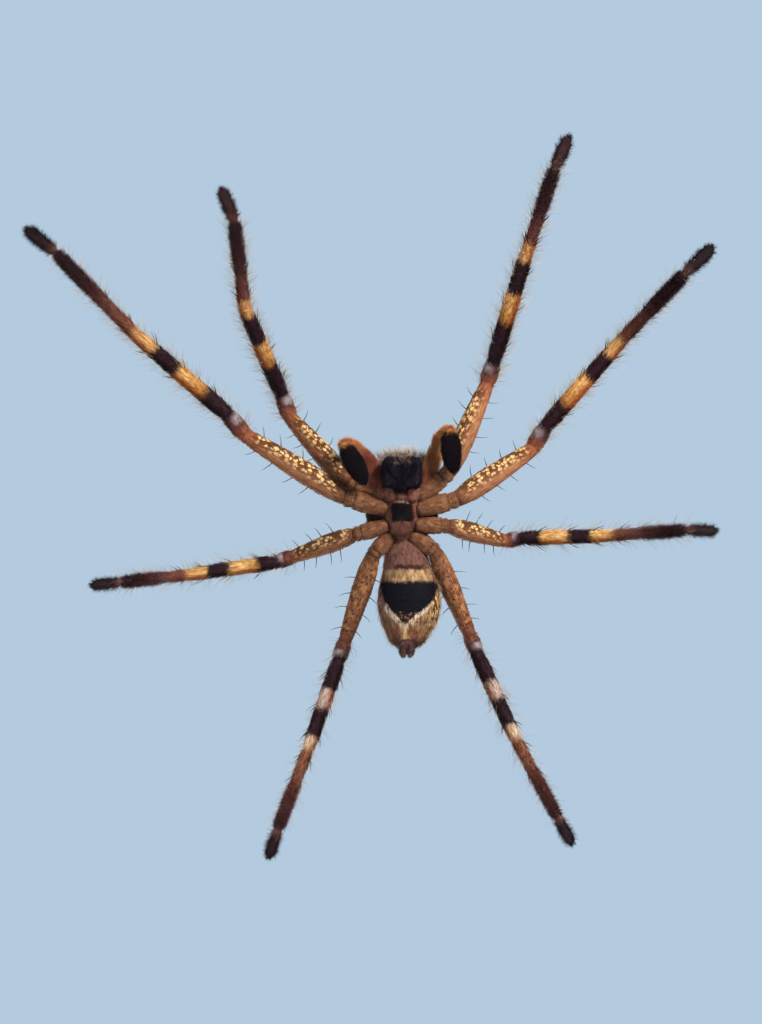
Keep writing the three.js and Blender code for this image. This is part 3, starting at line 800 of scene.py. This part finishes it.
def abdomen_colour(paint):
    """A black badge below, with a cream bar before it and a white V behind, on brown and ochre."""
    across, forward, up = paint.axes()
    y = paint.plus(forward, paint.wobble(1.6, 0.6, 4))
    middle = paint.minus(0.8, paint.times(paint.step(forward, -8.5, -11.8), 0.45))
    u = paint.calc("ABSOLUTE", paint.plus(across, middle))
    past_arm = paint.minus(y, paint.minus(u, 12.55))
    cloud = paint.clouds(1.0, 0.35, 0.68, stretch=(2.6, 0.9, 2))
    belly, rear = paint.blend(cloud, "5a3c33", "734f43"), paint.blend(cloud, "664531", "977453")
    colour = paint.blend(paint.step(y, -8.5, -9.5), belly, rear)
    rusty = paint.zone((u, 0.5, 0.9), (u, 1.7, 1.3), (y, -12.3, -12.8))
    colour = paint.blend(paint.times(rusty, 0.8), colour, "754538")
    streaks = paint.clouds(1.0, 0.45, 0.6, 3, (5, 1.2, 3))
    gold, rose = paint.blend(streaks, "523624", "cda974"), paint.blend(streaks, "5a3c36", "957065")
    edge = paint.zone((u, 2.3, 2.8), (y, -7.6, -8.6), (y, -13.5, -12.5))
    colour = paint.blend(edge, colour, paint.blend(paint.step(across, -1.4, -0.2), gold, rose))
    tail = paint.zone((y, -13.2, -14.0), (u, 0.4, 0.9))
    colour = paint.blend(paint.times(tail, 0.8), colour, "553b33")
    furrow = paint.zone((y, -5.2, -5.4), (y, -5.85, -5.65), (u, 1.9, 1.4))
    colour = paint.blend(furrow, colour, "301a16")
    bar = paint.zone((y, -5.75, -6.0), (y, -7.25, -7.0), (u, 2.9, 2.3))
    colour = paint.blend(bar, colour, paint.blend(cloud, "735539", "ac8e68"))
    triangle = paint.zone((past_arm, 0.3, 0.5), (y, -10.2, -10.5))
    grains = paint.cells(paint.warped(paint.place(), 3.0, 0.4), 4.4)
    specks = paint.zone((grains, 0.36, 0.2), (u, 1.3, 0.9))
    colour = paint.blend(triangle, colour, paint.blend(specks, "2a1915", "b59b82"))
    depth = paint.minus(-7.3, y)
    inside = paint.minus(3.2, paint.plus(u, paint.times(depth, depth, 0.1)))
    badge = paint.zone((y, -7.1, -7.3), (y, -10.75, -10.55), (inside, -0.12, 0.12))
    colour = paint.blend(badge, colour, "0b0a12")
    v_mark = paint.zone((past_arm, -0.5, -0.3), (past_arm, 0.45, 0.28), (u, 2.8, 2.3))
    broken = paint.times(v_mark, paint.clouds(1.6, 0.36, 0.52, 3, (3, 1, 1)))
    colour = paint.blend(broken, colour, paint.blend(cloud, "c0a88c", "cdbcae"))
    stem = paint.zone((u, 0.34, 0.14), (y, -12.3, -12.6), (y, -14.4, -13.8))
    colour = paint.blend(paint.times(stem, 0.8), colour, "c2a070")
    back = paint.blend(paint.clouds(1.8, 0.42, 0.62, 5), "6d4b35", "9d7a56")
    chevrons = paint.calc("SINE", paint.times(paint.minus(y, u), 3.1))
    band = paint.zone((u, 1.9, 1.0), (chevrons, -0.3, 0.5))
    back = paint.blend(paint.times(band, 0.7), back, "3b271e")
    return paint.blend(paint.step(up, 5.2, 4.3), back, colour)


def spinneret_colour(paint):
    """Dark brown, paler towards the tips."""
    dark = paint.blend(paint.clouds(2.2, 0.35, 0.7), "2f2021", "4f3733")
    return paint.blend(paint.step(paint.axes()[1], -15.2, -15.7), dark, "5f453c")


def palp_colour(paint, orange_from):
    """Orange brown, darker up to a share of the palp's length: the palp's own darker base, with painted shade
    where it passes beside the jaws.
    """
    cloud = paint.clouds(1.4, 0.35, 0.7)
    # The darker root is partly the palp's own colour and partly painted shade beside the jaws.
    far = paint.step(paint.value("band"), orange_from - 0.1, orange_from + 0.12)
    return paint.blend(far, paint.blend(cloud, "6a342a", "8f5040"), paint.blend(cloud, "9a603d", "c28b5a"))


def pad_colour(paint):
    """A black brush below, brown at its rim and above."""
    up = paint.axes()[2]
    brown = paint.blend(paint.clouds(2.0, 0.35, 0.7), "6a4330", "8c6446")
    rim = paint.blend(paint.step(up, 0.35, 0.2), brown, "96705f")
    return paint.blend(paint.step(up, 0.15, 0.0), rim, "120b10")


def chelicera_colour(paint):
    """Blue-black, with paler streaks."""
    return paint.blend(paint.clouds(1.0, 0.4, 0.75, stretch=(3, 3, 0.8)), "17121d", "2a2130")


def hair_colour(paint, dark, light):
    """Plain hair, each strand between a dark and a light colour."""
    return paint.blend(paint.value("shade"), dark, light)


def skin_paint(name, colouring, roughness):
    """A skin that shows fine hair lying along it as bump."""
    paint = Paint(name, Roughness=roughness, Specular_IOR_Level=0.06)
    lie = paint.noise(1.6, 5, (2.2, 9, 9), 0.65)
    paint.bump(paint.plus(lie, paint.times(paint.noise(9.0), 0.5)), 0.7, 0.08)
    return paint.colour(colouring(paint))


def coat_paint(name, colouring, pale=0.25, roughness=0.6):
    """Hair with the markings of the skin under it, varied from strand to strand and paler at its tips."""
    paint = Paint(name, Roughness=roughness, Specular_IOR_Level=0.05)
    level = paint.plus(paint.times(paint.value("shade"), 0.5), 0.78)
    shade = paint.node("ShaderNodeCombineColor", {0: level, 1: level, 2: level}).outputs[0]
    colour = paint.blend(1.0, colouring(paint), shade, "MULTIPLY")
    light = paint.times(paint.step(paint.value("tip"), 0.2, 1.0), pale)
    return paint.colour(paint.blend(light, colour, colour, "ADD"))


def horn_paint(name, dark, lighter, roughness, **settings):
    """Smooth horn, mottled a little."""
    paint = Paint(name, Roughness=roughness, **settings)
    paint.bump(paint.noise(14.0, 3), 0.15, 0.02)
    return paint.colour(paint.blend(paint.clouds(1.5, 0.35, 0.7, 3), dark, lighter))


COLOURINGS = {
    "body": body_colour, "abdomen": abdomen_colour, "spinneret": spinneret_colour, "pad": pad_colour,
    "chelicera": chelicera_colour,
    **{f"leg_{pair}": partial(leg_colour, pair=pair) for pair in LEG_LENGTHS},
    **{f"palp_{side}": partial(palp_colour, orange_from=PALPS[side]["orange_from"]) for side in SIDES},
}
SKIN_ROUGHNESS = {"abdomen": 0.65, "pad": 0.8, "chelicera": 0.4}
COAT_SETTINGS = {
    "abdomen": {"pale": 0.2}, "chelicera": {"pale": 0.15}, "pad": {"pale": 0.1, "roughness": 0.75},
}
PLAIN_HAIR = {
    "long_hair": ("7a6650", "b49f80", 0.2),
    "face_hair": ("75655a", "b3a490", 0.25),
    "brown_hair": ("6a5344", "9a8370", 0.2),
}
MATERIALS = {
    "spine": horn_paint("spine", "0d0a0c", "1c1214", 0.3),
    "fang": horn_paint("fang", "07050a", "0e0b12", 0.75, Specular_IOR_Level=0.02),
    "eye": horn_paint("eye", "060507", "0b090d", 0.06),
}
for key, colouring in COLOURINGS.items():
    MATERIALS[f"{key}_skin"] = skin_paint(f"{key}_skin", colouring, SKIN_ROUGHNESS.get(key, 0.55))
    MATERIALS[f"{key}_coat"] = coat_paint(f"{key}_coat", colouring, **COAT_SETTINGS.get(key, {}))
for key, (dark, light, pale) in PLAIN_HAIR.items():
    MATERIALS[key] = coat_paint(key, partial(hair_colour, dark=dark, light=light), pale)


# Legs

LEG_RINGS = (46, 90, 30, 90, 80, 40)
LEG_SIDES = 40

# Spines on the numbered parts of a leg: shares along them, turns, length and lean in degrees.
SPINE_ROWS = {
    1: ((0.3, 0.48, 0.66, 0.84), (-0.22, 0.02, 0.22), 1.6, 62),
    2: ((0.34,), (0.0,), 1.8, 80),
    3: ((0.18, 0.5, 0.8), (-0.32, 0.32, -0.15, 0.15), 1.6, 34),
    4: ((0.12, 0.4), (-0.31, 0.31, -0.15, 0.15), 1.4, 32),
}
SPINE_SHAPE = ((0, 0.085), (0.12, 0.06), (0.6, 0.04), (1, 0.01))
SPINE_BOW = 0.12                       # how far a spine bends over along its length, in radians
SPINE_DEPTH = 0.08
CLAW_PATH = ((0.12, 0.0, 0.0), (0.2, 0.3, 0.12), (0.24, 0.46, -0.05))   # aside, ahead and up from the toe
CLAW_SHAPE = ((0, 0.09), (0.5, 0.06), (1, 0.015))
SHORT_HAIR = {
    "coxa": Hair(0.55, 0.05, lift=12),
    "femur": Hair(0.34, 0.045, lift=16),
    "patella": Hair(0.6, 0.05, lift=18),
    "tibia": Hair(0.7, 0.05, lift=22),
    "metatarsus": Hair(0.7, 0.05, lift=26),
    "tarsus": Hair(0.5, 0.05, lift=26),
}
SHORT_HAIR_DENSITY = 34                # for each square millimetre
BRUSHES = {
    "metatarsus": Hair(0.55, 0.045, lift=66, drop=10, spread=20),
    "tarsus": Hair(0.66, 0.045, lift=62, drop=10, spread=20),
}
LONG_HAIR = Hair(1.9, 0.028, lift=64, drop=34, spread=22, rings=2)
LONG_HAIR_COUNT = {1: 150, 2: 120, 3: 60, 4: 50}
LONG_HAIR_TIMES = {2: 1, 3: 4, 4: 3}   # how many times that number grow on patella, tibia and metatarsus


def spine_path(form, share, turn, length, lean):
    """A slightly bowed spine that leans towards the far end of its part."""
    root, out, along, _ = (values[0] for values in form.facing(np.array([share]), np.array([turn])))
    tip_lean = lean - SPINE_BOW
    start = out * math.sin(lean) + along * math.cos(lean)
    bowed = out * math.sin(tip_lean) + along * math.cos(tip_lean)
    return root - SPINE_DEPTH * out, root + 0.5 * length * start, root + length * (start + bowed) / 2


def leg_spines(forms):
    """Spines in rows, each a little off its place, length, lean and turn."""
    spines = []
    for number, (shares, turns, usual_length, usual_lean) in SPINE_ROWS.items():
        for share, turn in product(shares, turns):
            at = share + draw.uniform(-0.025, 0.025)
            length = usual_length * draw.uniform(0.85, 1.1)
            lean = math.radians(usual_lean + draw.uniform(-9, 9))
            path = spine_path(forms[number], at, turn + draw.uniform(-0.02, 0.02), length, lean)
            spines.append(Limb(path, SPINE_SHAPE, blunt=0.05))
    return spines


def claws(foot):
    """Two small curved claws at the end of a leg."""
    tip = foot.axis(np.array([1.0]))[0]
    ahead, side = foot.along[-1], foot.side[-1]
    paths = ([tip + way * x * side + y * ahead + z * UP for x, y, z in CLAW_PATH] for way in (-1, 1))
    return [Limb(path, CLAW_SHAPE, blunt=0.04) for path in paths]


# Weights for scatter: how thick hair stands at the shares and turns of a form.

def upward(turn):
    """1 on the back of a form and -1 under it."""
    return circle(turn)[1]


def underneath(form, share, turn):
    return smoothstep(-upward(turn), -0.2, 0.5)


def overhead(form, share, turn):
    return 1 - underneath(form, share, turn)


def not_underneath(form, share, turn):
    return smoothstep(upward(turn), -0.85, -0.5)


def ankle_bare(form, share, turn):
    """Everywhere on a foot or the part before it, but off the narrow joint between them."""
    return smoothstep(share, 0.03, 0.16) if form.number == TARSUS else smoothstep(share, 0.99, 0.92)


def brush_place(form, share, turn):
    """The brush of short black hair under a foot and under the last half of the part before it."""
    last_half = 1 if form.number == TARSUS else smoothstep(share, 0.35, 0.6)
    return smoothstep(-upward(turn), -0.6, 0.2) * (ankle_bare(form, share, turn) * last_half)


def outside_body(form, share, turn):
    """Where a form stands out of the body, so that no hair is wasted inside it."""
    depth = (form.place(share, turn) - UNDERBODY.centre) / UNDERBODY.radii
    return np.sum(depth**2, axis=-1) >= 0.9


def face_place(form, share, turn):
    """The front rim of the head, over the jaws."""
    return smoothstep(upward(turn), 0.5, 0.7) * smoothstep(share, 0.5, 0.62)


def inner_side(form, share, turn):
    """The side of a jaw beside the other one."""
    return smoothstep(np.abs(form.place(share, turn)[:, 0]), 0.7, 0.4)


def tuft_place(form, share, turn):
    """The front edge of a jaw's end, beside the other jaw."""
    x, y, _ = np.moveaxis(form.place(share, turn), -1, 0)
    return smoothstep(np.abs(x), 1.2, 0.6) * smoothstep(y, 6.0, 6.6) * smoothstep(share, 0.5, 0.8)


def fringe_place(form, share, turn):
    """The sides, back and rear of the abdomen, but hardly its belly."""
    return smoothstep(upward(turn), -0.35, 0.2) * (0.3 + smoothstep(share, 0.5, 0.9))


def build_leg(leg):
    pair = int(leg[-1])
    forms = leg_forms(leg)
    nodes = [f"{leg}_{part}" for part in LEG_PARTS]
    skin(f"skin_{leg}", forms, LEG_RINGS, LEG_SIDES, f"leg_{pair}_skin", "femur", *nodes)
    cells = cells_for(len(forms))
    batches = []
    for form, part, cell in zip(forms, LEG_PARTS, cells):
        count = int(area_of(form) * SHORT_HAIR_DENSITY)
        brushed = part in BRUSHES
        batches.append(strands(form, count, SHORT_HAIR[part], cell, ankle_bare if brushed else None))
        if brushed:
            batches.append(strands(form, count, BRUSHES[part], cell, brush_place))
    coat(f"coat_{leg}", batches, f"leg_{pair}_coat")
    whiskers = [
        strands(forms[part], LONG_HAIR_COUNT[pair] * times, LONG_HAIR, cells[part], not_underneath)
        for part, times in LONG_HAIR_TIMES.items()
    ]
    coat(f"whiskers_{leg}", whiskers, "long_hair")
    skin(f"spines_{leg}", leg_spines(forms) + claws(forms[TARSUS]), 10, 8, "spine", "pad")


# Body

BODY_HAIR = {"back": Hair(0.6, 0.05, lift=16, spread=16), "under": Hair(0.5, 0.045, lift=22, spread=20)}
FACE_HAIR = Hair(1.75, 0.045, lift=56, drop=22, spread=28)
JAW_HAIR = Hair(0.75, 0.05, lift=20, spread=14)
JAW_BRUSH = Hair(0.7, 0.06, lift=62, spread=34)
JAW_TUFT = Hair(0.8, 0.05, lift=50, spread=24)
PALP_HAIR = Hair(0.85, 0.05, lift=32, spread=18)
PAD_HAIR = Hair(0.45, 0.045, lift=40, drop=16, spread=18)
BELLY_FUR = Hair(0.42, 0.05, lift=14)
BACK_FUR = Hair(0.8, 0.055, lift=18)
FRINGE = Hair(1.1, 0.035, lift=34, drop=20, rings=2)
SPINNERET_HAIR = Hair(0.4, 0.04, lift=22)
EYES = ((8, 25, 0.3), (21, 24, 0.38), (11, 44, 0.28), (32, 42, 0.34))
EYE_DEPTH = 0.05


def build_prosoma():
    maxillae = [form for side in SIDES.values() for form in maxilla_forms(side)]
    forms = [CARAPACE, UNDERBODY, STERNUM, LABIUM, *maxillae]
    rings = (120, 60, 60, 30, 30, 30, 30, 30)
    counts = (9000, 1500, 2000, 400, 350, 350, 350, 350)
    skin("skin_prosoma", forms, rings, 96, "body_skin", "carapace", "prosoma")
    cells = cells_for(len(forms))
    batches = []
    for form, count, cell in zip(forms, counts, cells):
        hair = BODY_HAIR["back" if form is CARAPACE else "under"]
        batches.append(strands(form, count, hair, cell, outside_body if form is STERNUM else None))
    coat("coat_prosoma", batches, "body_coat")
    face = strands(CARAPACE, 2400, FACE_HAIR, cells[0], face_place)
    coat("face_fringe", [face], "face_hair")


def build_eyes():
    """Eight eyes in two rows: degrees aside, degrees up the dome and radius, for one side."""
    forms = []
    for aside, climb, radius in EYES:
        for side in SIDES.values():
            share = np.array([(1 - climb / 90) * CARAPACE.rim_share])
            place, out, _, _ = CARAPACE.facing(share, np.array([side * aside / 360]))
            forms.append(Ball(place[0] - EYE_DEPTH * out[0], (radius, radius, radius)))
    skin("eyes", forms, 24, 32, "eye", "fang")


def build_jaws():
    for name, side in SIDES.items():
        jaw = chelicera_form(side)
        skin(f"skin_chelicera_{name}", [jaw], 70, 56, "chelicera_skin", "chelicera", f"chelicera_{name}")
        batches = [strands(jaw, 3200, JAW_HAIR), strands(jaw, 1600, JAW_BRUSH, where=inner_side)]
        coat(f"coat_chelicera_{name}", batches, "chelicera_coat")
        tuft = strands(jaw, 140, JAW_TUFT, where=tuft_place)
        coat(f"tuft_chelicera_{name}", [tuft], "brown_hair")
        skin(f"fang_{name}_fine", [fang_form(side)], 40, 24, "fang", "fang", f"fang_{name}")


def build_palps():
    for name in SIDES:
        arm, pad = palp_forms(name)
        skin(f"skin_palp_{name}", [arm], 140, 36, f"palp_{name}_skin", "palp", f"palp_{name}")
        skin(f"skin_palp_pad_{name}", [pad], 60, 44, "pad_skin", "pad", f"palp_tarsus_{name}")
        coat(f"coat_palp_{name}", [strands(arm, 3600, PALP_HAIR)], f"palp_{name}_coat")
        coat(f"coat_palp_pad_{name}", [strands(pad, 3600, PAD_HAIR)], "pad_coat")


def build_abdomen():
    skin("skin_abdomen", [ABDOMEN], 160, 96, "abdomen_skin", "abdomen", "abdomen")
    below = strands(ABDOMEN, 8000, BELLY_FUR, where=underneath)
    above = strands(ABDOMEN, 8000, BACK_FUR, where=overhead)
    coat("coat_abdomen", [below, above], "abdomen_coat")
    fringe = strands(ABDOMEN, 1500, FRINGE, where=fringe_place)
    coat("fringe_abdomen", [fringe], "long_hair")
    forms = spinneret_forms()
    skin("skin_spinnerets", forms, 30, 28, "spinneret_skin", "carapace", "spinnerets")
    hairs = [strands(form, 260, SPINNERET_HAIR, cell) for form, cell in zip(forms, cells_for(len(forms)))]
    coat("coat_spinnerets", hairs, "spinneret_coat")


for leg_name in STANCE:
    build_leg(leg_name)
build_prosoma()
build_eyes()
build_jaws()
build_palps()
build_abdomen()


# Stage: the spider stands on a clear sheet, over a plain pale floor, and the camera looks up between them.
# Lengths are metres from here on.

CAMERA_PLACE = (-1.07 * MM, -1.75 * MM, -230 * MM)
PICTURE_HEIGHT = 115.7 * MM            # what the picture shows from top to bottom, at the clear sheet
SENSOR = 36.0                          # in millimetres, as Blender has it
CLIP = (0.01, 20)
FLOOR_LEVEL, FLOOR_SIZE = -0.7, 8.0
BACKDROP_RADIUS = 3.9
SHEET_LEVEL, SHEET_SIZE = -0.00002, 0.5
SHEET_BEND = 1.12                      # how strongly the sheet bends light, and so how faintly it reflects
SHEET_ROUGHNESS = 0.05
SKY_COLOUR, SKY_STRENGTH = (0.9, 0.95, 1.0, 1), 0.3

# The lamps: place, size, power and colour.
LAMPS = {
    "belly_key": ((-0.26, 0.24, -0.3), 0.16, 4.5, (1.0, 0.96, 0.9)),
    "belly_fill": ((0.3, -0.15, -0.4), 0.4, 1.4, (1, 1, 1)),
    "top": ((0.1, -0.2, 0.55), 0.5, 6.0, (1, 1, 1)),
}


def plane(name, level, size):
    bpy.ops.mesh.primitive_plane_add(size=size, location=(0, 0, level))
    piece = bpy.context.object
    piece.name = name
    return piece


def glow(name, colour):
    """A plain pale surface that gives off its own even light."""
    paint = Paint(name)
    return paint.surface(paint.node("ShaderNodeEmission", {"Color": colour, "Strength": 1.0}))


def clear(name):
    """A surface that light goes through, but for a faint reflection."""
    paint = Paint(name)
    fresnel = paint.node("ShaderNodeFresnel", {"IOR": SHEET_BEND}).outputs[0]
    see_through = paint.node("ShaderNodeBsdfTransparent", {}).outputs[0]
    gloss = paint.node("ShaderNodeBsdfGlossy", {"Roughness": SHEET_ROUGHNESS}).outputs[0]
    return paint.surface(paint.node("ShaderNodeMixShader", {0: fresnel, 1: see_through, 2: gloss}))


def build_stage():
    floor = plane("floor", FLOOR_LEVEL, FLOOR_SIZE)
    floor.data.materials.append(glow("floor", "c6d3e2"))
    bpy.ops.mesh.primitive_uv_sphere_add(radius=BACKDROP_RADIUS, segments=64, ring_count=32)
    backdrop = bpy.context.object
    backdrop.name = "backdrop"
    backdrop.data.materials.append(glow("backdrop", "b4cade"))
    for piece in (floor, backdrop):
        piece.visible_diffuse = False
    plane("clear_sheet", SHEET_LEVEL, SHEET_SIZE).data.materials.append(clear("clear_sheet"))


def area_light(name, place, size, power, colour):
    """A round lamp that the camera does not see, turned towards the middle of the stance."""
    light = bpy.data.lights.new(name, "AREA")
    light.shape = "DISK"
    light.size = size
    light.energy = power
    light.color = colour
    lamp = bpy.data.objects.new(name, light)
    lamp.location = place
    lamp.rotation_mode = "QUATERNION"
    lamp.rotation_quaternion = (-Vector(place)).to_track_quat("-Z", "Y")
    lamp.visible_camera = False
    bpy.context.scene.collection.objects.link(lamp)


def build_light():
    world = bpy.data.worlds.new("studio")
    world.use_nodes = True
    sky = world.node_tree.nodes["Background"]
    sky.inputs["Color"].default_value = SKY_COLOUR
    sky.inputs["Strength"].default_value = SKY_STRENGTH
    bpy.context.scene.world = world
    for name, lamp in LAMPS.items():
        area_light(name, *lamp)


def build_camera():
    camera = bpy.data.objects.new("camera", bpy.data.cameras.new("camera"))
    camera.data.sensor_width = SENSOR
    camera.data.lens = SENSOR * -CAMERA_PLACE[2] / PICTURE_HEIGHT
    camera.data.clip_start, camera.data.clip_end = CLIP
    camera.location = CAMERA_PLACE
    camera.rotation_euler = (0, math.pi, 0)
    bpy.context.scene.collection.objects.link(camera)
    bpy.context.scene.camera = camera


build_stage()
build_light()
build_camera()
bpy.context.scene.view_settings.view_transform = "Standard"
